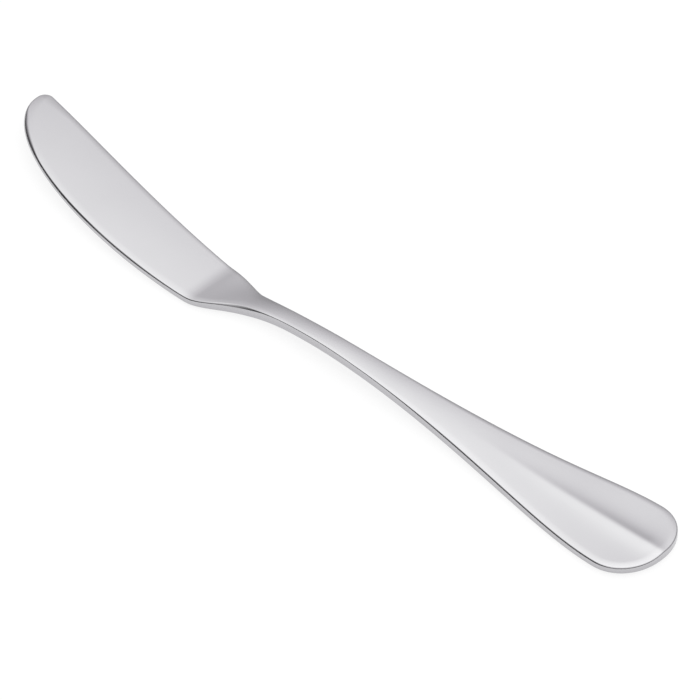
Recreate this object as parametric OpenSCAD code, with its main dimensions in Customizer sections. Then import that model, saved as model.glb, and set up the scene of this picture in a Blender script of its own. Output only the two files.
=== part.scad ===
// Butter knife pressed from one blank of stainless steel sheet.
// X runs along the handle's axis towards the blade's tip, Y towards the blade's belly and Z up.
// The knife lies as it rests: on the underside of the heel and on the low point of the handle,
// and the flat blade rises from the heel to its tip.
// The blank is cut at three planes across its axis into its blade, neck, shank and handle end,
// and those four solids meet face to face.

/* [Blade] */
// Length of the blade from the heel to the tip
blade_len = 60.7; // [48:0.1:76]
// Angle at which the blade rises from the heel, in degrees
blade_rise_angle = 3.3; // [0:0.1:6]
// Distance from the handle's axis to the belly edge at the heel
heel_belly = 7.7; // [6:0.1:10]
// Distance from the handle's axis to the spine at the heel
heel_spine = 4.4; // [3.5:0.1:7]
// Angle between the spine and the handle's axis at the heel, in degrees
spine_angle_heel = 6.1; // [0:0.1:10]
// Angle between the spine and the handle's axis at the tip, in degrees
spine_angle_tip = 10.7; // [6:0.1:16]
// Radius of the corner where the spine turns into the tip
tip_r = 1.95; // [1.2:0.05:4]
// Distance from the handle's axis to the centre of the tip's corner, on the spine's side
tip_offset = 12.8; // [9:0.1:17]
// Angle between the belly edge and the handle's axis at the heel, in degrees
belly_angle = 3.2; // [0:0.1:6]
// Reach of the belly's curve straight on from the tip
belly_reach_tip = 12.5; // [9:0.1:17]
// Reach of the belly's curve straight on from the heel
belly_reach_heel = 28.4; // [18:0.1:36]
// Thickness of the blade at the heel
blade_t_heel = 1.3; // [1:0.05:2]
// Thickness of the blade at the tip
blade_t_tip = 1.1; // [0.9:0.05:1.6]

/* [Neck] */
// Distance from the heel back to the narrowest place
neck_len = 21; // [18:0.5:26]
// Width of the narrowest place
neck_w = 3.95; // [3:0.05:6]
// Thickness of the sheet at the neck's edges
neck_t = 1.8; // [1.3:0.05:2.6]
// Length of the flat ramp behind the heel
ramp_len = 12; // [8:0.5:16]
// Height that the ramp gains
ramp_rise = 1.25; // [0.6:0.05:2]
// Reach of the belly side's shoulder curve straight on from the heel
belly_shoulder_heel = 5.8; // [3:0.1:8]
// Reach of the belly side's shoulder curve straight on from the narrowest place
belly_shoulder_neck = 13.2; // [8:0.1:16]
// Length of the shoulder on the spine's side
spine_shoulder_len = 10.5; // [8:0.1:16]
// Reach of the spine side's shoulder curve straight on from the heel
spine_shoulder_heel = 5.3; // [1.5:0.1:7]
// Reach of the spine side's shoulder curve straight on from the neck
spine_shoulder_neck = 1.6; // [1:0.1:6]

/* [Handle] */
// Length of the handle from the heel to its round end
handle_len = 107; // [95:0.5:120]
// Distance from the heel back to the top of the handle's arch
arch_back = 31.5; // [28:0.5:40]
// Height of the handle's edges at the top of the arch
arch_h = 3.85; // [3:0.05:5]
// Distance from the round end to the low point that rests on the table
rest_from_end = 21; // [14:0.5:30]
// Thickness of the sheet at the handle's edges
handle_t = 1.5; // [1.1:0.05:2.4]
// Height that the round end is turned up
end_lift = 0.5; // [0:0.05:1.5]
// Greatest width of the handle
end_w = 18.4; // [14:0.1:24]
// Length of the rounded end
end_round = 8; // [6:0.1:11]
// Squareness of the rounded end, where 2 is a half ellipse
end_square = 2.1; // [1.8:0.05:3]
// Reach of the side curve straight on from the neck
flare_reach_neck = 43.5; // [25:0.5:50]
// Reach of the side curve straight on from the widest place
flare_reach_end = 14.4; // [8:0.1:22]

/* [Face] */
// Height of the rounded crown along the middle of the shank
crown_h = 0.15; // [0.05:0.05:0.5]
// Distance from the heel back to where the crown is fully formed
crown_run = 27; // [15:1:40]
// Height of the crest along the handle's end
crest_h = 0.4; // [0.2:0.05:0.9]
// Distance from the handle's axis to the crest, on the spine's side
crest_side = 0.15; // [0:0.05:0.8]
// Height of the crest where it runs out at the round end
crest_end_h = 0.25; // [0:0.05:0.4]
// Radius of the crest's rounded top, as seen in a cross-section
crest_r = 0.5; // [0.4:0.1:2]
// Hollowness of the flanks beside the crest, where 1 is flat
flank_hollow = 5; // [1:0.1:8]
// Distance from the round end at which the crown starts to sharpen into the crest
crest_from = 48; // [36:1:60]
// Distance from the round end at which the crest is fully formed
crest_full = 4; // [2:1:20]
// Distance from the round end over which the crest runs out
crest_fade = 4; // [3:0.5:14]
// Radius of the eased edges all round
edge_r = 0.4; // [0.2:0.05:0.45]

/* [Frame] */
// Distance from the heel forward to the origin, along the blade's flat underside
origin_ahead = 12; // [6:1:30]
// Distance from the round end to the plane between the shank and the handle's end
end_zone = 42; // [36:1:50]

/* [Hidden] */

// Colour of polished stainless steel
steel = [0.8, 0.8, 0.81];
// Length of plate behind the heel that is cut off square
heel_trim = 2;
// Steps along the spine, round the tip's corner and along each half of the belly
spine_steps = 16;
corner_steps = 10;
belly_steps = 20;
// Cross-sections along the neck, the shank, the handle's end and round its rounded end
neck_steps = 14;
shank_steps = 16;
end_steps = 12;
round_steps = 14;
// Points across the face, and degrees between the points of an eased edge
face_steps = 14;
edge_step = 30;
// Turn at which the last cross-section of the rounded end lies, in degrees from its very end
end_turn = 4;
// Halvings that find a curve's point at a given x
halvings = 24;

ramp_slope = ramp_rise / ramp_len;
ramp_top_h = blade_t_heel + ramp_rise;
round_x = end_round - handle_len;
zone_x = end_zone - handle_len;
// Place of the origin as seen from the underside of the heel
origin = origin_ahead * [cos(blade_rise_angle), 0, sin(blade_rise_angle)];

// Unit vector at an angle
function heading(angle) = [cos(angle), sin(angle)];

// Value a share of the way from a to b
function between(a, b, share) = a + (b - a) * share;

// Smooth rise from 0 to 1, level at both ends
function ease(share) = let (s = min(1, max(0, share))) s * s * (3 - 2 * s);

// Height at u between two stations [u, height, slope], as a cubic
function cubic(u, p, q) =
    let (span = q[0] - p[0], s = (u - p[0]) / span)
    between(p[1], q[1], ease(s)) + span * s * (1 - s) * (p[2] * (1 - s) - q[2] * s);

// Point on a curve with four control points
function bezier(c, s) =
    c[0] * pow(1 - s, 3) + 3 * c[1] * s * pow(1 - s, 2) + 3 * c[2] * s * s * (1 - s) + c[3] * pow(s, 3);

// Side distance y at x of a curve whose x falls from its first point to its last
function y_at(curve, x, low = 0, high = 1, left = halvings) =
    let (middle = (low + high) / 2, p = bezier(curve, middle))
    left == 0 ? p[1]
    : p[0] > x ? y_at(curve, x, middle, high, left - 1)
    : y_at(curve, x, low, middle, left - 1);

// Plan of the blade: its corners at the heel, the tip's corner, and the curves between them
belly_heel = [0, heel_belly];
spine_heel = [0, -heel_spine];
belly_heading = heading(belly_angle);
spine_heading = heading(-spine_angle_heel);
tip_centre = [blade_len - tip_r, -tip_offset];
tip_start = tip_centre + tip_r * heading(-90 - spine_angle_tip);
tip_top = tip_centre + [tip_r, 0];
spine_reach = norm(tip_start - spine_heel) / 3;
spine_curve = [
    spine_heel,
    spine_heel + spine_reach * spine_heading,
    tip_start - spine_reach * heading(-spine_angle_tip),
    tip_start
];
belly_curve = [
    tip_top,
    tip_top + [0, belly_reach_tip],
    belly_heel + belly_reach_heel * belly_heading,
    belly_heel
];

// Plan of the neck and the handle: both shoulders and the long flare
belly_shoulder = [
    belly_heel,
    belly_heel - belly_shoulder_heel * belly_heading,
    [belly_shoulder_neck - neck_len, neck_w / 2],
    [-neck_len, neck_w / 2]
];
spine_shoulder = [
    spine_heel,
    spine_heel - spine_shoulder_heel * spine_heading,
    [spine_shoulder_neck - spine_shoulder_len, -neck_w / 2],
    [-spine_shoulder_len, -neck_w / 2]
];
flare = [
    [-neck_len, neck_w / 2],
    [-neck_len - flare_reach_neck, neck_w / 2],
    [round_x + flare_reach_end, end_w / 2],
    [round_x, end_w / 2]
];

// Half width of the handle with its end left square, and with its end rounded
function square_half(x) = y_at(flare, max(x, round_x));
function round_share(x) = min(1, (x + handle_len) / end_round);
function handle_half(x) = square_half(x) * pow(1 - pow(1 - round_share(x), end_square), 1 / end_square);

// Places of the belly's edge and the spine's edge at x
function belly_side(x) = x < -neck_len ? handle_half(x) : y_at(belly_shoulder, x);
function spine_side(x) =
    x < -neck_len ? -handle_half(x)
    : x < -spine_shoulder_len ? -neck_w / 2
    : y_at(spine_shoulder, x);

// Height of the face's edges above the table: up the ramp, over the arch, down to rest, and up at the end
arch_top = [arch_back, arch_h, 0];
ramp_top = [ramp_len, ramp_top_h, ramp_slope];
rest_point = [handle_len - rest_from_end, handle_t, 0];
function edge_height(x) =
    let (back = -x)
    back < ramp_len ? blade_t_heel + ramp_slope * back
    : back < arch_back ? cubic(back, ramp_top, arch_top)
    : back < rest_point[0] ? cubic(back, arch_top, rest_point)
    : handle_t + end_lift * pow((back - rest_point[0]) / rest_from_end, 2);

// Thickness of the blade's plate, and of the sheet behind the heel
function blade_thickness(x) = between(blade_t_heel, blade_t_tip, x / blade_len);
function thickness(x) =
    let (back = -x)
    back < ramp_len ? between(blade_t_heel, neck_t, ease(back / ramp_len))
    : between(neck_t, handle_t, ease((back - ramp_len) / (rest_point[0] - ramp_len)));

// Height of the face above its edges at x and y: a rounded crown that sharpens into a crest
function crest_share(u) = ease((crest_from - u) / (crest_from - crest_full));
function crest_height(u) =
    between(crest_end_h, between(crown_h, crest_h, crest_share(u)), ease(u / crest_fade));
function crest_away(y) = norm([y + crest_side, crest_r]) - crest_r;
function ridge(y, half) = pow(max(0, 1 - crest_away(y) / crest_away(half)), flank_hollow);
function crown(y, half) = max(0, 1 - pow(y / half, 2));
function swell(x, y, middle, half) =
    let (u = x + handle_len, share = crest_share(u), side = y - middle, rise = ease(-x / crown_run))
    rise * crest_height(u) * between(crown(side, half), ridge(side, half), share);

// Quarter circle of an eased edge round a centre, from one angle to another
function eased(centre, radius, from, to) =
    [for (a = [from : edge_step : to]) centre + radius * heading(a)];

// Cross-section at x, a closed ring from the middle of the underside round the belly side, over the face
// and down the spine side
function section(x) =
    let (
        belly = belly_side(x),
        spine = spine_side(x),
        middle = (belly + spine) / 2,
        top = edge_height(x),
        bottom = top - thickness(x),
        r = min(edge_r, (belly - spine) / 4),
        half = (x < -neck_len ? square_half(x) : (belly - spine) / 2) - r,
        face = [for (i = [0 : face_steps])
            let (y = between(belly - r, spine + r, i / face_steps))
            [y, top + swell(x, y, middle, half)]],
        first = face[0],
        last = face[face_steps],
        ring = concat(
            [[middle, bottom]],
            eased([belly - r, bottom + r], r, -90, 0),
            eased(first - [0, r], r, 0, 90 - edge_step),
            face,
            eased(last - [0, r], r, 90 + edge_step, 180),
            eased([spine + r, bottom + r], r, 180, 270)
        )
    )
    [for (p = ring) [x, p[0], p[1]]];

// Closed solid through rings of equal length, each one turning left as seen from the next
module skin(rings) {
    count = len(rings[0]);
    last = len(rings) - 1;
    points = [for (ring = rings) each ring];
    sides = [for (k = [0 : last - 1], i = [0 : count - 1])
        let (a = k * count + i, b = k * count + (i + 1) % count)
        each [[a, a + count, b + count], [a, b + count, b]]];
    first_cap = [for (i = [0 : count - 1]) i];
    last_cap = [for (i = [count : -1 : 1]) last * count + i % count];
    polyhedron(points, concat([first_cap, last_cap], sides));
}

// Outline of the blade's plate, turning left from the middle of the belly back to the heel, along the spine,
// round the tip and along the belly again, and the unit vector into it at each point
plate_outline = concat(
    [for (i = [0 : belly_steps - 1]) bezier(belly_curve, between(0.5, 1, i / belly_steps))],
    [belly_heel - heel_trim * belly_heading, spine_heel - heel_trim * spine_heading],
    [for (i = [1 : spine_steps]) bezier(spine_curve, i / spine_steps)],
    [for (i = [1 : corner_steps - 1])
        tip_centre + tip_r * heading(between(-90 - spine_angle_tip, 0, i / corner_steps))],
    [for (i = [0 : belly_steps - 1]) bezier(belly_curve, between(0, 0.5, i / belly_steps))]
);
plate_count = len(plate_outline);
plate_inward = [for (i = [0 : plate_count - 1])
    let (along = plate_outline[(i + 1) % plate_count] - plate_outline[(i + plate_count - 1) % plate_count])
    [-along[1], along[0]] / norm(along)];

// Ring of the plate's edge at a turn of its easing, from -90 at the underside to 90 at the face
function plate_ring(turn, face_side) =
    [for (i = [0 : plate_count - 1])
        let (
            p = plate_outline[i] + edge_r * (1 - cos(turn)) * plate_inward[i],
            level = face_side ? blade_thickness(p[0]) - edge_r : edge_r
        )
        [p[0], p[1], level + edge_r * sin(turn)]];

// Flat blade with eased edges, raised from the heel's underside and cut square at the heel
module blade() {
    rings = concat(
        [for (turn = [-90 : edge_step : 0]) plate_ring(turn, false)],
        [for (turn = [0 : edge_step : 90]) plate_ring(turn, true)]
    );
    color(steel)
        translate(-origin)
            difference() {
                rotate([0, -blade_rise_angle, 0])
                    skin(rings);
                translate([-2 * heel_trim, -blade_len / 2, -blade_t_heel])
                    cube([2 * heel_trim, blade_len, 3 * blade_t_heel]);
            }
}

// Length of the blank through cross-sections at the given places along the axis
module zone(places) {
    color(steel)
        translate(-origin)
            skin([for (x = places) section(x)]);
}

// Evenly spaced places from one plane to another
function places(from, to, steps) = [for (i = [0 : steps]) between(from, to, i / steps)];

// Ramp, shoulders and narrowest place behind the heel
module neck() {
    zone(places(-neck_len, 0, neck_steps));
}

// Arched stem from the narrowest place to where the handle spreads
module shank() {
    zone(places(zone_x, -neck_len, shank_steps));
}

// Broad crested end of the handle, closed in a round
module handle_end() {
    turns = [for (i = [0 : round_steps - 1]) between(end_turn, 90, i / round_steps)];
    zone(concat([for (turn = turns) round_x - end_round * cos(turn)], places(round_x, zone_x, end_steps)));
}

blade();
neck();
shank();
handle_end();
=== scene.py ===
import bpy
import numpy as np
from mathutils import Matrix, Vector


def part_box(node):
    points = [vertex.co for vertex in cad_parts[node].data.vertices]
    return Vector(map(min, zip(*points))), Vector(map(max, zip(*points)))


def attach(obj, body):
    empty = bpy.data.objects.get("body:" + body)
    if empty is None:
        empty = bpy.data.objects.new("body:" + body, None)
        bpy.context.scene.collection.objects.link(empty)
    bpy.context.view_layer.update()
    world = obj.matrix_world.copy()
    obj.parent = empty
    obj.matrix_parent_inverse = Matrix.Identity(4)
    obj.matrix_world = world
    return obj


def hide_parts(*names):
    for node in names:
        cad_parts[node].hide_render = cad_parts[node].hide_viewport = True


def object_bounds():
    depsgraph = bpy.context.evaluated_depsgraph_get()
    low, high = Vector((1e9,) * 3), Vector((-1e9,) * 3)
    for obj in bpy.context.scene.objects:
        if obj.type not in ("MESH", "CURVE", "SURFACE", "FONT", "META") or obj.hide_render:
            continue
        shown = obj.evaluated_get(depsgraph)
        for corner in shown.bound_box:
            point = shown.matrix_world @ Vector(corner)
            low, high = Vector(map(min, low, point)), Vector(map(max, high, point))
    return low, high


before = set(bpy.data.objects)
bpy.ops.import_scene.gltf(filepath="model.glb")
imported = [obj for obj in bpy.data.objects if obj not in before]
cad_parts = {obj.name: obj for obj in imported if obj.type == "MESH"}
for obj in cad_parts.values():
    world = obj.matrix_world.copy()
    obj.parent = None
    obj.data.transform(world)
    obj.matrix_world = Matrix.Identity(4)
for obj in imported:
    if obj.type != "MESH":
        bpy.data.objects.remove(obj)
cad_low, cad_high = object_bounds()

# Blade: the flat end of the stainless blank, ground a little thinner to the tip and bent up at the heel.
# Its spine is nearly straight, its belly curves round to the tip, and polishing has softened its edges.
# The whole knife is one piece of this steel, satin polished along its length.
mm = 0.001
blade_low, blade_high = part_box("blade")
heel_x = blade_low.x
table_z = cad_low.z

# Outline in plan, with angles in degrees
blade_len = blade_high.x - heel_x
heel_belly = 7.7 * mm
heel_spine = 4.4 * mm
spine_angle_heel = 6.1
spine_angle_tip = 10.7
tip_r = 1.95 * mm
tip_offset = 12.8 * mm
belly_angle = 3.2
belly_reach_tip = 12.6 * mm
belly_reach_heel = 28.4 * mm
square_run = 3 * mm

# Sheet, and the long forms of its face and underside
blade_t_heel = 1.3 * mm
blade_t_tip = 1.1 * mm
blade_rise = np.tan(np.radians(3.3))
blade_bow = 0.2 * mm
tip_droop = 0.2 * mm
tip_droop_from = 46 * mm
crown_bend = 5.0
crown_tip_y = -9 * mm

# Crease at the heel, where the slope changes to that of the neck's ramp
ramp_len = 12 * mm
ramp_rise = 1.25 * mm
ramp_slope = ramp_rise / ramp_len
ramp_start = 0.04
crease_reach = 1.5 * mm

# Eased edges: their widths on the face, their heights on the wall, and where they change along the blade
round_power = 1
bevel_power = 1.8
spine_edge_w = 0.45 * mm
spine_edge_h = 0.45 * mm
heel_edge_w = 0.24 * mm
heel_edge_h = 0.25 * mm
heel_edge_run = 16 * mm
belly_edge_w = 0.42 * mm
belly_edge_h = 0.36 * mm
bevel_w = 0.25 * mm
bevel_h = 0.30 * mm
bevel_from = 22 * mm
bevel_to = 54 * mm
bevel_run = 14 * mm
tip_edge_w = 1.0 * mm
tip_edge_h = 0.66 * mm
tip_edge_from = 46 * mm
tip_edge_run = 9 * mm
tip_close = 0.38 * mm
tip_close_run = 3 * mm
under_edge_r = 0.35 * mm

# Soft fall of the face towards its outline
blade_soft_w = 1.6 * mm
blade_soft_h = 0.17 * mm
heel_spine_soft_w = 1.1 * mm
heel_soft_h = 0.11 * mm
heel_soft_run = 35 * mm
tip_soft_w = 2.6 * mm
tip_soft_from = 50 * mm

# Rows along the blade, and columns round every piece of the knife
blade_rows = 160
last_row = 0.9995
face_columns = 76
under_columns = 12
edge_turns = 10
curve_steps = 8000
weld_digits = 9

# Steel: the counts of polishing lines and smudges are per metre
steel_colour = (0.630, 0.628, 0.640, 1)
smudge_colour = (0.609, 0.607, 0.619, 1)
# The edge colour is partly duller sheared steel and partly painted shade: the shadowed floor that the walls
# reflect.
dull_and_shaded_edge_colour = (0.508, 0.501, 0.523, 1)
top_dull_and_shade_share = 0.6
line_count = (60, 2400, 2400)
line_rough = (0.16, 0.22)
line_bump = 0.05
line_depth = 0.02 * mm
smudge_count = 90
smudge_rough = (-0.03, 0.04)
edge_rough = 0.08


def add_node(tree, kind, at, **settings):
    """Makes a shader node at a place in its tree. Each setting is the value of a socket or of a property."""
    node = tree.nodes.new(kind)
    node.location = at
    for name, value in settings.items():
        if name in node.inputs:
            node.inputs[name].default_value = value
        else:
            setattr(node, name, value)
    return node


def spread(tree, pattern, span, at):
    """Node that turns a pattern p from 0 to 1 into a roughness between the ends of a span: a + (b - a) p."""
    node = add_node(tree, "ShaderNodeMapRange", at)
    node.inputs["To Min"].default_value = span[0]
    node.inputs["To Max"].default_value = span[1]
    tree.links.new(pattern.outputs["Fac"], node.inputs["Value"])
    return node


def polished_steel():
    """Satin-polished steel. Fine lines along the knife change its roughness and bump, faint smudges change
    its colour and roughness, and an attribute on the edges makes them rougher and darker. The roughness is
    duller sheared steel. The darkening is partly that and partly painted shade, strongest on the low edges,
    for the shadowed floor near the knife that they reflect."""
    material = bpy.data.materials.new("polished_steel")
    material.use_nodes = True
    tree = material.node_tree
    link = tree.links.new
    shader = tree.nodes["Principled BSDF"]
    shader.inputs["Metallic"].default_value = 1.0
    place = add_node(tree, "ShaderNodeTexCoord", (-1500, 0))
    stretch = add_node(tree, "ShaderNodeMapping", (-1300, 200), Scale=line_count)
    link(place.outputs["Object"], stretch.inputs["Vector"])
    lines = add_node(tree, "ShaderNodeTexNoise", (-1100, 200), Scale=1.0, Detail=4.0, Roughness=0.6)
    link(stretch.outputs["Vector"], lines.inputs["Vector"])
    smudges = add_node(tree, "ShaderNodeTexNoise", (-1100, -100), Detail=3.0, Roughness=0.5)
    smudges.inputs["Scale"].default_value = smudge_count
    link(place.outputs["Object"], smudges.inputs["Vector"])
    dull_and_shade = add_node(tree, "ShaderNodeAttribute", (-1100, -400), attribute_name="dull_and_shade")

    # A colour Mix node knows its sockets only by number
    mix_share, mix_first, mix_second, mix_result = 0, 6, 7, 2
    smudged = add_node(tree, "ShaderNodeMix", (-700, 0), data_type="RGBA")
    smudged.inputs[mix_first].default_value = steel_colour
    smudged.inputs[mix_second].default_value = smudge_colour
    link(smudges.outputs["Fac"], smudged.inputs[mix_share])
    # The edges darken towards the edge colour: partly duller steel, partly painted shade of the reflected
    # floor's shadow.
    dulled_and_shaded = add_node(tree, "ShaderNodeMix", (-450, 0), data_type="RGBA")
    dulled_and_shaded.inputs[mix_second].default_value = dull_and_shaded_edge_colour
    link(dull_and_shade.outputs["Fac"], dulled_and_shaded.inputs[mix_share])
    link(smudged.outputs[mix_result], dulled_and_shaded.inputs[mix_first])
    link(dulled_and_shaded.outputs[mix_result], shader.inputs["Base Color"])

    rough = add_node(tree, "ShaderNodeMath", (-450, 400), operation="ADD")
    link(spread(tree, lines, line_rough, (-700, 300)).outputs["Result"], rough.inputs[0])
    link(spread(tree, smudges, smudge_rough, (-700, 600)).outputs["Result"], rough.inputs[1])
    edge_rougher = add_node(tree, "ShaderNodeMath", (-250, 400), operation="MULTIPLY_ADD")
    edge_rougher.inputs[1].default_value = edge_rough
    link(dull_and_shade.outputs["Fac"], edge_rougher.inputs[0])
    link(rough.outputs["Value"], edge_rougher.inputs[2])
    link(edge_rougher.outputs["Value"], shader.inputs["Roughness"])

    bump = add_node(tree, "ShaderNodeBump", (-450, -300), Strength=line_bump, Distance=line_depth)
    link(lines.outputs["Fac"], bump.inputs["Height"])
    link(bump.outputs["Normal"], shader.inputs["Normal"])
    return material


steel = polished_steel()


def heading(angle):
    """Unit vector in plan at an angle a in degrees: cos(a), sin(a)."""
    return np.array([np.cos(np.radians(angle)), np.sin(np.radians(angle))])


def between(a, b, share):
    """Value a share s of the way from a to b: a + (b - a) s."""
    return a + (b - a) * share


def ease(share):
    """Smooth rise from 0 to 1, level at both ends: s s (3 - 2 s)."""
    s = np.clip(share, 0, 1)
    return s * s * (3 - 2 * s)


def unit(vectors):
    """Vectors divided by their lengths."""
    return vectors / np.linalg.norm(vectors, axis=-1, keepdims=True)


def left_of(along):
    """Unit vectors (x, y) turned a quarter to the left in plan: (-y, x)."""
    return np.stack([-along[:, 1], along[:, 0]], axis=1)


def bezier(controls, s):
    """Points at the shares s of a cubic curve with four control points, and unit vectors along it:
    a (1 - s)^3 + 3 b s (1 - s)^2 + 3 c s^2 (1 - s) + d s^3, and its slope."""
    a, b, c, d = np.array(controls)
    s = s[:, None]
    points = a * (1 - s) ** 3 + 3 * b * s * (1 - s) ** 2 + 3 * c * s * s * (1 - s) + d * s ** 3
    along = (b - a) * (1 - s) ** 2 + 2 * (c - b) * s * (1 - s) + (d - c) * s * s
    return points, unit(along)


def curve_at(controls, x):
    """Points and unit vectors of a curve at given x, where its x runs one way from end to end.
    The share at each x is read off between even steps of the curve."""
    shares = np.linspace(0, 1, curve_steps + 1)
    curve_x = bezier(controls, shares)[0][:, 0]
    way = np.sign(curve_x[-1] - curve_x[0])
    return bezier(controls, np.interp(way * x, way * curve_x, shares))


def square_at_heel(inward, x):
    """Unit vectors into the sheet, eased to straight across the knife towards the heel's plane."""
    across = np.stack([np.zeros_like(x), np.sign(inward[:, 1])], axis=1)
    return unit(between(across, inward, ease(abs(x) / square_run)[:, None]))


def depth_from(line, plan):
    """Distance in plan from points to a polyline: the least of the distances to its pieces."""
    no_length = 1e-18
    flat = plan.reshape(-1, 1, 2)
    along = line[1:] - line[:-1]
    share = ((flat - line[:-1]) * along).sum(2) / np.maximum((along ** 2).sum(1), no_length)
    foot = line[:-1] + along * np.clip(share, 0, 1)[..., None]
    return np.linalg.norm(flat - foot, axis=2).min(1).reshape(plan.shape[:-1])


def skin(name, outline, face, under, edge, soft, cut_first=True, cut_last=True):
    """Closed skin through rows across the knife. A row starts on the underside, goes round the belly's edge,
    over the face, round the spine's edge and back. At turn a an eased edge lies w (1 - cos(a)^p) inside the
    outline and h (1 - sin(a)^p) under the face, where p is 1 for a round edge and 2 for a flat bevel.
    The face is raised by s, less s (1 - d / r)^2 at a depth d within r of the belly or the spine."""
    belly, belly_in, spine, spine_in = outline
    count = len(belly)
    belly_w, belly_h, belly_power, spine_w, spine_h = [np.broadcast_to(size, count) for size in edge]
    belly_soft, spine_soft, soft_h = [np.broadcast_to(size, count) for size in soft]
    turns = np.linspace(0, np.pi / 2, edge_turns)

    def face_points(plan, lower=0):
        """Points of the raised face over places in plan, or points a little lower."""
        belly_share = depth_from(belly, plan) / belly_soft[:, None]
        spine_share = depth_from(spine, plan) / spine_soft[:, None]
        fall = np.maximum(0, 1 - np.minimum(belly_share, spine_share)) ** 2
        height = face(plan[..., 0], plan[..., 1]) + soft_h[:, None] * (1 - fall) - lower
        return np.dstack([plan, height])

    def top_edge(points, inward, width, height, power):
        """Points of the eased edge between the wall and the face, from the wall inwards."""
        depth = width[:, None] * (1 - np.cos(turns) ** power[:, None])
        plan = points[:, None] + inward[:, None] * depth[..., None]
        return face_points(plan, height[:, None] * (1 - np.sin(turns) ** power[:, None]))

    def low_edge(points, inward):
        """Points of the rounded edge under the wall: r (1 - cos(a)) in and r (1 - sin(a)) up."""
        depth = under_edge_r * (1 - np.cos(turns))
        plan = points[:, None] + inward[:, None] * depth[:, None]
        return np.dstack([plan, under(plan[..., 0]) + under_edge_r * (1 - np.sin(turns))])

    belly_top = top_edge(belly, belly_in, belly_w, belly_h, belly_power)
    spine_top = top_edge(spine, spine_in, spine_w, spine_h, np.full(count, round_power))
    belly_low = low_edge(belly, belly_in)
    spine_low = low_edge(spine, spine_in)
    across = np.linspace(0, 1, face_columns + 1)[1:-1, None]
    top = face_points(between(belly_top[:, -1:, :2], spine_top[:, -1:, :2], across))
    across = np.linspace(0, 1, under_columns + 1)[1:-1, None]
    plan = between(spine_low[:, -1:, :2], belly_low[:, -1:, :2], across)
    bottom = np.dstack([plan, under(plan[..., 0])])
    grid = np.concatenate([
        bottom, belly_low[:, ::-1], belly_top, top, spine_top[:, ::-1], spine_low,
    ], axis=1)

    # Points that fall together are welded, and triangles that this leaves without area are dropped
    rows, columns = grid.shape[:2]
    points = (grid.reshape(-1, 3) + np.array([heel_x, 0, table_z])).round(weld_digits)
    points, first, index = np.unique(points, axis=0, return_index=True, return_inverse=True)
    index = index.reshape(rows, columns)
    turned = np.roll(index, -1, axis=1)
    quads = np.stack([index[:-1], index[1:], turned[1:], turned[:-1]], axis=2).reshape(-1, 4)
    triangles = np.concatenate([quads[:, [0, 1, 2]], quads[:, [0, 2, 3]]])
    whole = (triangles != np.roll(triangles, 1, axis=1)).all(1)
    cuts = []
    if cut_first:
        cuts.append(index[0])
    if cut_last:
        cuts.append(index[-1, ::-1])
    faces = triangles[whole].tolist() + [cut.tolist() for cut in cuts]
    mesh = bpy.data.meshes.new(name)
    mesh.from_pydata(points.tolist(), [], faces, shade_flat=False)
    ends = np.empty(2 * len(mesh.edges), dtype=np.int32)
    mesh.edges.foreach_get("vertices", ends)
    round_cut = [np.isin(ends, cut).reshape(-1, 2).all(1) for cut in cuts]
    mesh.edges.foreach_set("use_edge_sharp", np.any(round_cut, axis=0))

    # The edge darkening is 1 on the low edges and a smaller share on the top ones, and fades round each edge
    # as cos(a).
    # It is partly duller sheared steel and partly painted shade, darkest low down where the walls reflect
    # the floor's shadow.
    low_dull_and_shade = np.cos(turns)
    top_dull_and_shade = top_dull_and_shade_share * low_dull_and_shade
    no_rim_under = np.zeros(bottom.shape[1])
    no_rim_on_top = np.zeros(top.shape[1])
    dull_and_shade = np.concatenate([no_rim_under, low_dull_and_shade[::-1], top_dull_and_shade, no_rim_on_top, top_dull_and_shade[::-1], low_dull_and_shade])
    dull_and_shade_layer = mesh.attributes.new("dull_and_shade", "FLOAT", "POINT")
    dull_and_shade_layer.data.foreach_set("value", np.tile(dull_and_shade, rows)[first].astype(np.float32))
    mesh.materials.append(steel)
    piece = bpy.data.objects.new(name, mesh)
    bpy.context.scene.collection.objects.link(piece)
    return piece


tip_centre = np.array([blade_len - tip_r, -tip_offset])
tip_start = tip_centre + tip_r * heading(-90 - spine_angle_tip)
tip_top = tip_centre + np.array([tip_r, 0])
belly_heel = np.array([0, heel_belly])
spine_heel = np.array([0, -heel_spine])
spine_reach = np.linalg.norm(tip_start - spine_heel) / 3
spine_curve = [
    spine_heel,
    spine_heel + spine_reach * heading(-spine_angle_heel),
    tip_start - spine_reach * heading(-spine_angle_tip),
    tip_start,
]
belly_curve = [
    tip_top,
    tip_top + np.array([0, belly_reach_tip]),
    belly_heel + belly_reach_heel * heading(belly_angle),
    belly_heel,
]
heel_half = (heel_belly + heel_spine) / 2
heel_middle = (heel_belly - heel_spine) / 2
heel_crown = crown_bend / 2 * heel_half ** 2
middle_slope = (np.tan(np.radians(belly_angle)) - np.tan(np.radians(spine_angle_heel))) / 2
middle_bend = (crown_tip_y - heel_middle - middle_slope * blade_len) / blade_len ** 2


def blade_outline():
    """Belly and spine points of the blade's rows from the tip to the heel, with unit vectors into it.
    The rows follow the belly's curve, with one more close to the heel. The spine has the same x,
    on its curve or on the arc of the tip's corner."""
    shares = np.append(np.linspace(0, 1, blade_rows)[:-1], [last_row, 1])
    belly, belly_along = bezier(belly_curve, shares)
    x = belly[:, 0]
    spine, spine_along = curve_at(spine_curve, np.minimum(x, tip_start[0]))
    turn = -np.arccos(np.clip((x - tip_centre[0]) / tip_r, -1, 1))
    outward = np.stack([np.cos(turn), np.sin(turn)], axis=1)
    on_corner = (x > tip_start[0])[:, None]
    spine = np.where(on_corner, tip_centre + tip_r * outward, spine)
    spine_in = np.where(on_corner, -outward, left_of(spine_along))
    return belly, square_at_heel(left_of(belly_along), x), spine, square_at_heel(spine_in, x)


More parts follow.
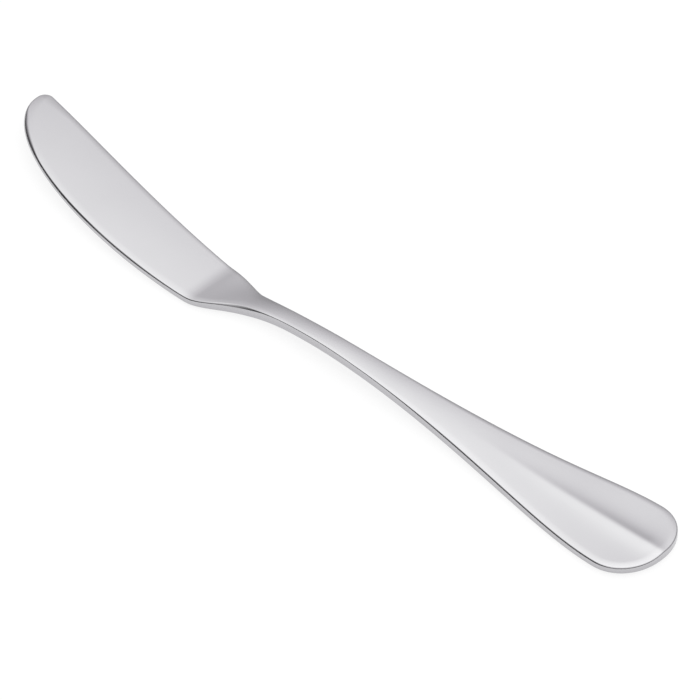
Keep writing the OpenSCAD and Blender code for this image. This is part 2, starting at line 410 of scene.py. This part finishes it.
def crease(x):
    """What rounding the crease at the heel adds to the height: c (w - |x|)^2 / 4 w within w of it,
    for a change of slope c."""
    change = ramp_slope + ramp_start + blade_rise
    return change * np.maximum(0, crease_reach - abs(x)) ** 2 / (4 * crease_reach)


def blade_under(x):
    """Height of the blade's underside: a straight rise with a slight bow b (s - s^3), the crease,
    and a droop d p^2, where p is the share of the tip that is past the droop's start."""
    s = x / blade_len
    past = np.maximum(0, x - tip_droop_from) / (blade_len - tip_droop_from)
    return blade_rise * x + blade_bow * (s - s ** 3) - tip_droop * past ** 2 + crease(x)


def blade_face(x, y):
    """Height of the blade's face: its underside, its thickness and a long crown k (h^2 - (y - m)^2) / 2,
    where h is half the heel's width and the middle m follows a parabola to the tip."""
    middle = heel_middle + middle_slope * x + middle_bend * x ** 2
    crown = crown_bend / 2 * (heel_half ** 2 - (y - middle) ** 2)
    return blade_under(x) + between(blade_t_heel, blade_t_tip, x / blade_len) + crown


outline = blade_outline()
x = outline[0][:, 0]
sharp = ease(x / heel_edge_run)
flatter = ease((x - bevel_from) / bevel_run) * ease((bevel_to - x) / bevel_run)
rounder = ease((x - tip_edge_from) / tip_edge_run)
closing = ease((x - blade_len + tip_close) / tip_close_run + 1)
edge_w = between(between(heel_edge_w, belly_edge_w, sharp), bevel_w, flatter)
edge_h = between(between(heel_edge_h, belly_edge_h, sharp), bevel_h, flatter)
from_heel = ease(x / heel_soft_run)
near_tip = ease((x - tip_soft_from) / (blade_len - tip_soft_from))
blade = skin(
    "blade_skin", outline, blade_face, blade_under,
    edge=(
        between(between(edge_w, tip_edge_w, rounder), spine_edge_w, closing),
        between(between(edge_h, tip_edge_h, rounder), spine_edge_h, closing),
        between(round_power, bevel_power, flatter),
        spine_edge_w,
        spine_edge_h,
    ),
    soft=(
        between(blade_soft_w, tip_soft_w, near_tip),
        between(between(heel_spine_soft_w, blade_soft_w, from_heel), tip_soft_w, near_tip),
        between(heel_soft_h, blade_soft_h, from_heel),
    ),
    cut_first=False,
)
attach(blade, "root")
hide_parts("blade")

# Neck: the ramp behind the heel and the two shoulders that draw the blank in to a narrow stem.
# It is one piece with the blade, pressed from the same sheet, which thickens here.
# Its flat face starts to round into a crown, and a bevel runs along the hollow of its belly's side.
neck_len = heel_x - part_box("neck")[0].x
neck_w = 3.95 * mm
neck_t = 1.8 * mm
belly_shoulder_heel = 5.8 * mm
belly_shoulder_neck = 13.2 * mm
spine_shoulder_len = 10.5 * mm
spine_shoulder_heel = 5.3 * mm
spine_shoulder_neck = 1.6 * mm
belly_shoulder = [
    belly_heel,
    belly_heel - belly_shoulder_heel * heading(belly_angle),
    [belly_shoulder_neck - neck_len, neck_w / 2],
    [-neck_len, neck_w / 2],
]
spine_shoulder = [
    spine_heel,
    spine_heel - spine_shoulder_heel * heading(-spine_angle_heel),
    [spine_shoulder_neck - spine_shoulder_len, -neck_w / 2],
    [-spine_shoulder_len, -neck_w / 2],
]

# Heights: the ramp's top, the top of the arch and the low point of the handle, as places behind the heel
handle_len = heel_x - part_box("handle_end")[0].x
handle_t = 1.5 * mm
rest_from_end = 21 * mm
arch_back = 31.5 * mm
arch_h = 3.85 * mm
ramp_top = [ramp_len, blade_t_heel + ramp_rise, ramp_slope]
arch_top = [arch_back, arch_h, 0]
rest_point = [handle_len - rest_from_end, handle_t, 0]
crown_h = 0.165 * mm
crown_from = 9 * mm
crown_run = 20 * mm
neck_lean = np.tan(np.radians(4.3))
stem_lean = np.tan(np.radians(1.2))

# Edges and soft fall, with the bay as the hollow of the belly's side
stem_edge_w = 0.12 * mm
stem_edge_h = 0.14 * mm
stem_spine_w = 0.5 * mm
stem_spine_h = 0.45 * mm
stem_soft_w = 0.8 * mm
stem_soft_h = 0.06 * mm
draw_in = 8 * mm
bay_edge_w = 0.38 * mm
bay_edge_h = 0.37 * mm
bay_soft_w = 2.0 * mm
bay_soft_h = 0.05 * mm
bay_back = 9.5 * mm
bay_run = 8 * mm
neck_rows = 70
close_row = 0.002


def cubic(u, p, q):
    """Height at u between two stations [u, height, slope]: with a share s of the span d from p to q,
    an eased rise plus d s (1 - s) (p's slope (1 - s) - q's slope s)."""
    span = q[0] - p[0]
    s = (u - p[0]) / span
    return between(p[1], q[1], ease(s)) + span * s * (1 - s) * (p[2] * (1 - s) - q[2] * s)


def rows_from(start, end, count):
    """Even rows from one plane to another, with one more row close to each plane."""
    inner = np.linspace(0, 1, count)[1:-1]
    return between(start, end, np.concatenate([[0, close_row], inner, [1 - close_row, 1]]))


def neck_outline(x):
    """Belly and spine points of the neck at x, with unit vectors into it. Each side is a shoulder's curve,
    and the spine's goes on straight behind its shoulder."""
    belly, belly_along = curve_at(belly_shoulder, x)
    spine, spine_along = curve_at(spine_shoulder, np.maximum(x, -spine_shoulder_len))
    spine[:, 0] = x
    belly_in = square_at_heel(left_of(belly_along), x)
    spine_in = square_at_heel(-left_of(spine_along), x)
    return belly, belly_in, spine, spine_in


def sheet_t(x):
    """Thickness of the sheet behind the heel: it eases up along the ramp and down again to the low point."""
    ramp = between(blade_t_heel, neck_t, ease(-x / ramp_len))
    return between(ramp, handle_t, ease((-x - ramp_len) / (rest_point[0] - ramp_len)))


def crown_height(x):
    """Height of the crown at its middle, eased from the blade's at the heel to the shank's."""
    return between(heel_crown, crown_h, ease((-x - crown_from) / crown_run))


def neck_rise(x):
    """Height of the neck's edges: a straight ramp and a cubic to the top of the arch, with the crease.
    The ramp starts a little steeper, by a slope k that fades: k u (1 - u / l)^2 at u behind the heel."""
    ramp = np.where(-x < ramp_len, blade_t_heel - ramp_slope * x, cubic(-x, ramp_top, arch_top))
    return ramp - ramp_start * x * (1 + x / neck_len) ** 2 + crease(x)


def neck_under(x):
    """Height of the neck's underside: its edges less the sheet's thickness."""
    return neck_rise(x) - sheet_t(x)


def neck_face(x, y):
    """Height of the neck's face: its edges, a crown c (1 - (v / h)^2) at a distance v from its middle,
    and a lean k v, where k is largest about halfway along the neck."""
    belly, _, spine, _ = neck_outline(np.clip(x.ravel(), -neck_len, 0))
    middle = ((belly[:, 1] + spine[:, 1]) / 2).reshape(x.shape)
    half = ((belly[:, 1] - spine[:, 1]) / 2).reshape(x.shape)
    side = y - middle
    lean = stem_lean * ease(-x / neck_len) + neck_lean * np.sin(np.pi * x / neck_len) ** 2
    return neck_rise(x) + crown_height(x) * (1 - (side / half) ** 2) + lean * side


x = rows_from(0, -neck_len, neck_rows)
drawn = ease(-x / draw_in)
bay = ease(1 - abs(x + bay_back) / bay_run)
neck = skin(
    "neck_skin", neck_outline(x), neck_face, neck_under,
    edge=(
        between(between(heel_edge_w, stem_edge_w, drawn), bay_edge_w, bay),
        between(between(heel_edge_h, stem_edge_h, drawn), bay_edge_h, bay),
        between(round_power, bevel_power, bay),
        between(spine_edge_w, stem_spine_w, drawn),
        between(spine_edge_h, stem_spine_h, drawn),
    ),
    soft=(
        between(between(blade_soft_w, stem_soft_w, drawn), bay_soft_w, bay),
        between(between(heel_spine_soft_w, stem_soft_w, drawn), bay_soft_w, bay),
        between(between(heel_soft_h, stem_soft_h, drawn), bay_soft_h, bay),
    ),
)
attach(neck, "root")
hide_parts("neck")

# Shank: the slender stem of the handle, one piece with the neck, arched up so that fingers get under it.
# Pressing has given its face a low rounded crown, which starts to draw up into the crest as it widens.
# Its belly's edge starts sharper than the blade's and is eased more as the shank widens.
shank_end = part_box("shank")[0].x - heel_x
end_w = 18.4 * mm
end_round = 8 * mm
round_x = end_round - handle_len
flare_reach_neck = 43.5 * mm
flare_reach_end = 14.4 * mm
flare = [
    [-neck_len, neck_w / 2],
    [-neck_len - flare_reach_neck, neck_w / 2],
    [round_x + flare_reach_end, end_w / 2],
    [round_x, end_w / 2],
]
mirrored = np.array([1, -1])

# Heights and lean of the face, for the shank and the handle's end
end_lift = 0.5 * mm
lean_from = 42 * mm
lean_run = 20 * mm
end_lean = np.tan(np.radians(1.1))
end_lean_from = 74 * mm
crest_h = 0.38 * mm
crest_end_h = 0.26 * mm
crest_side = 0.05 * mm
crest_r = 0.7 * mm
flank_hollow = 6
crest_from = 48 * mm
crest_full = 4 * mm
crest_fade = 4 * mm

# Edges and soft fall of the handle's end, and where the shank's start to change to them
end_edge_w = 0.30 * mm
end_edge_h = 0.30 * mm
end_spine_w = 0.45 * mm
end_spine_h = 0.45 * mm
end_soft_w = 1.5 * mm
end_spine_soft_w = 1.35 * mm
end_soft_h = 0.2 * mm
wider_from = 36 * mm
shank_rows = 100


def flare_half(x):
    """Half width of the flaring handle at x, from its curve, with its end left square."""
    return curve_at(flare, np.maximum(x.ravel(), round_x))[0][:, 1].reshape(x.shape)


def shank_outline(x):
    """Belly and spine points of the shank at x, with unit vectors into it.
    The belly is the flare's curve, and the spine is its mirror image."""
    belly, along = curve_at(flare, x)
    inward = left_of(along)
    return belly, inward, belly * mirrored, inward * mirrored


def handle_rise(x):
    """Height of the handle's edges: a cubic over the arch, another down to the low point,
    and a parabola l s^2 up to the end."""
    arch = np.where(-x < arch_back, cubic(-x, ramp_top, arch_top), cubic(-x, arch_top, rest_point))
    lift = end_lift * ((-x - rest_point[0]) / rest_from_end) ** 2
    return np.where(-x < rest_point[0], arch, handle_t + lift)


def handle_under(x):
    """Height of the handle's underside: its edges less the sheet's thickness."""
    return handle_rise(x) - sheet_t(x)


def handle_face(x, y):
    """Height of the handle's face: its edges, a slight lean, and a crown c (1 - (y / h)^2) that turns into
    the crest c (1 - a)^n. There a is the distance from the crest as a share of the flank, and the crest's
    top is rounded by a hyperbola of radius r."""
    half = flare_half(x)
    from_end = x + handle_len
    share = ease((crest_from - from_end) / (crest_from - crest_full))
    ridge = between(crown_height(x), crest_h, share)
    height = between(crest_end_h, ridge, ease(from_end / crest_fade))
    flank = np.hypot(half + crest_side, crest_r) - crest_r
    away = (np.hypot(y + crest_side, crest_r) - crest_r) / flank
    crest = np.maximum(0, 1 - away) ** flank_hollow
    crown = 1 - (y / half) ** 2
    lean = stem_lean * (1 - ease((-x - lean_from) / lean_run))
    lean_back = end_lean * ease((-x - end_lean_from) / lean_run)
    return handle_rise(x) + height * between(crown, crest, share) + (lean - lean_back) * y


x = rows_from(-neck_len, shank_end, shank_rows)
wider = ease((-x - wider_from) / (-shank_end - wider_from))
shank = skin(
    "shank_skin", shank_outline(x), handle_face, handle_under,
    edge=(
        between(stem_edge_w, end_edge_w, wider),
        between(stem_edge_h, end_edge_h, wider),
        round_power,
        between(stem_spine_w, end_spine_w, wider),
        between(stem_spine_h, end_spine_h, wider),
    ),
    soft=(
        between(stem_soft_w, end_soft_w, wider),
        between(stem_soft_w, end_spine_soft_w, wider),
        between(stem_soft_h, end_soft_h, wider),
    ),
)
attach(shank, "root")
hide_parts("shank")

# Handle end: the broad grip, one piece with the shank, closed in a round and turned up a little
# past the low point on which the knife rests. Its face is pressed into a crest with hollow flanks,
# which sharpens from the shank's crown to the round end.
end_square = 2.1
end_rows = 70
round_rows = 60


def end_outline(x):
    """Belly and spine points of the handle's end at x, with unit vectors into it. The round is
    a superellipse: half = flare (1 - q^n)^(1/n), where q is the share of the round that x has passed."""
    q = np.clip((round_x - x) / end_round, 0, 1)
    rest = 1 - q ** end_square
    belly, flare_along = curve_at(flare, np.maximum(x, round_x))
    belly = np.stack([x, belly[:, 1] * rest ** (1 / end_square)], axis=1)
    round_along = unit(np.stack([
        -end_round * rest ** (1 - 1 / end_square),
        -end_w / 2 * q ** (end_square - 1),
    ], axis=1))
    inward = left_of(np.where((q > 0)[:, None], round_along, flare_along))
    return belly, inward, belly * mirrored, inward * mirrored


round_turns = np.linspace(np.pi / 2, 0, round_rows)
x = np.append(rows_from(shank_end, round_x, end_rows)[:-2], round_x - end_round * np.cos(round_turns))
before_round = ease((x - round_x) / flare_reach_end)
handle_end = skin(
    "handle_end_skin", end_outline(x), handle_face, handle_under,
    edge=(
        end_edge_w,
        end_edge_h,
        round_power,
        between(end_edge_w, end_spine_w, before_round),
        between(end_edge_h, end_spine_h, before_round),
    ),
    soft=(
        end_soft_w,
        between(end_soft_w, end_spine_soft_w, before_round),
        end_soft_h,
    ),
    cut_last=False,
)
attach(handle_end, "root")
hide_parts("handle_end")

# Floor: a plain white table that runs out of sight and takes the knife's faint shadow.
# It glows to the camera and in the steel, so that it looks white there, and lights nothing by that.
floor_reach = 3.0
floor_grey = 0.25
floor_glow = 0.815
floor_corners = [(-1, -1), (1, -1), (1, 1), (-1, 1)]
floor_points = [(across * floor_reach, along * floor_reach, table_z) for across, along in floor_corners]
floor_mesh = bpy.data.meshes.new("floor")
floor_mesh.from_pydata(floor_points, [], [(0, 1, 2, 3)])
floor = bpy.data.objects.new("floor", floor_mesh)
bpy.context.scene.collection.objects.link(floor)
floor_white = bpy.data.materials.new("floor_white")
floor_white.use_nodes = True
tree = floor_white.node_tree
tree.nodes.clear()
link = tree.links.new
matt = add_node(tree, "ShaderNodeBsdfDiffuse", (0, 0), Color=(floor_grey, floor_grey, floor_grey, 1))
glow = add_node(tree, "ShaderNodeEmission", (0, -200))
ray = add_node(tree, "ShaderNodeLightPath", (-800, -200))
seen = add_node(tree, "ShaderNodeMath", (-600, -200), operation="MAXIMUM")
link(ray.outputs["Is Camera Ray"], seen.inputs[0])
link(ray.outputs["Is Glossy Ray"], seen.inputs[1])
seen_through = add_node(tree, "ShaderNodeMath", (-400, -200), operation="MAXIMUM")
link(seen.outputs["Value"], seen_through.inputs[0])
link(ray.outputs["Is Transmission Ray"], seen_through.inputs[1])
glow_level = add_node(tree, "ShaderNodeMath", (-200, -200), operation="MULTIPLY")
glow_level.inputs[1].default_value = floor_glow
link(seen_through.outputs["Value"], glow_level.inputs[0])
link(glow_level.outputs["Value"], glow.inputs["Strength"])
both = add_node(tree, "ShaderNodeAddShader", (200, 0))
link(matt.outputs["BSDF"], both.inputs[0])
link(glow.outputs["Emission"], both.inputs[1])
surface = add_node(tree, "ShaderNodeOutputMaterial", (400, 0))
link(both.outputs["Shader"], surface.inputs["Surface"])
floor_mesh.materials.append(floor_white)

# Light: a large soft dome, white and brightest overhead, dimmer and a little cooler at the horizon.
# It is darker on the left and behind the camera, which draws the dark lines along the knife's near edges.
camera_turn = 133.38
camera_side = (*heading(camera_turn), 0)
camera_side_from = 0.2
camera_side_full = 0.8
camera_side_level = 0.55
left_side = (*heading(camera_turn - 90), 0)
left_side_from = 0.3
left_side_full = 0.8
left_side_level = 0.14
horizon_hue = np.array([1.006, 0.985, 1.019])

# Stops up the dome: the sine of the angle above the horizon, the brightness, and the share of the hue
dome_stops = [
    (0.0, 0.28, 1.0),
    (0.34, 0.46, 1.0),
    (0.423, 0.60, 1.0),
    (0.5, 0.72, 1.0),
    (0.643, 1.01, 0.7),
    (0.766, 1.27, 0.0),
    (0.906, 1.45, 0.0),
]
world = bpy.data.worlds.new("studio")
bpy.context.scene.world = world
world.use_nodes = True
tree = world.node_tree
link = tree.links.new
dome = tree.nodes["Background"]
direction = add_node(tree, "ShaderNodeTexCoord", (-1200, 0))
split = add_node(tree, "ShaderNodeSeparateXYZ", (-1000, 100))
link(direction.outputs["Generated"], split.inputs["Vector"])
climb = add_node(tree, "ShaderNodeValToRGB", (-800, 100))
stops = climb.color_ramp.elements
while len(stops) < len(dome_stops):
    stops.new(1)
for stop, (height, brightness, tint) in zip(stops, dome_stops):
    stop.position = height
    stop.color = (*(brightness * between(1, horizon_hue, tint)), 1)
link(split.outputs["Z"], climb.inputs["Fac"])
link(climb.outputs["Color"], dome.inputs["Color"])


def dim_side(side, start, full, level, at):
    """Node that dims the dome towards one side: from 1 to a level, eased, as a direction's lean
    to that side, which is their dot product, goes from start to full."""
    lean = add_node(tree, "ShaderNodeVectorMath", at, operation="DOT_PRODUCT")
    lean.inputs[1].default_value = side
    link(direction.outputs["Generated"], lean.inputs[0])
    dim = add_node(tree, "ShaderNodeMapRange", (at[0] + 200, at[1]), interpolation_type="SMOOTHSTEP")
    dim.inputs["From Min"].default_value = start
    dim.inputs["From Max"].default_value = full
    dim.inputs["To Min"].default_value = 1.0
    dim.inputs["To Max"].default_value = level
    link(lean.outputs["Value"], dim.inputs["Value"])
    return dim


left_dim = dim_side(left_side, left_side_from, left_side_full, left_side_level, (-1000, -200))
camera_dim = dim_side(camera_side, camera_side_from, camera_side_full, camera_side_level, (-1000, -400))
both_sides = add_node(tree, "ShaderNodeMath", (-500, -200), operation="MULTIPLY")
link(left_dim.outputs["Result"], both_sides.inputs[0])
link(camera_dim.outputs["Result"], both_sides.inputs[1])
link(both_sides.outputs["Value"], dome.inputs["Strength"])

# Camera: a long lens 41 degrees above the table, between the belly's side and the handle's end.
# It looks across the knife, with the blade at the upper left and the handle at the lower right.
camera_rise = np.radians(41)
camera_far = 750 * mm
aim_behind_heel = 30.55 * mm
aim_to_spine = 3.52 * mm
sensor_w = 36
focal_len = 214.3
camera_aim = Vector((heel_x - aim_behind_heel, -aim_to_spine, table_z))
towards = Vector((*(heading(camera_turn) * np.cos(camera_rise)), np.sin(camera_rise)))
lens = bpy.data.cameras.new("camera")
lens.sensor_width = sensor_w
lens.lens = focal_len
camera = bpy.data.objects.new("camera", lens)
camera.location = camera_aim + towards * camera_far
camera.rotation_euler = towards.to_track_quat("Z", "Y").to_euler()
bpy.context.scene.collection.objects.link(camera)
bpy.context.scene.camera = camera
bpy.context.scene.view_settings.view_transform = "Standard"
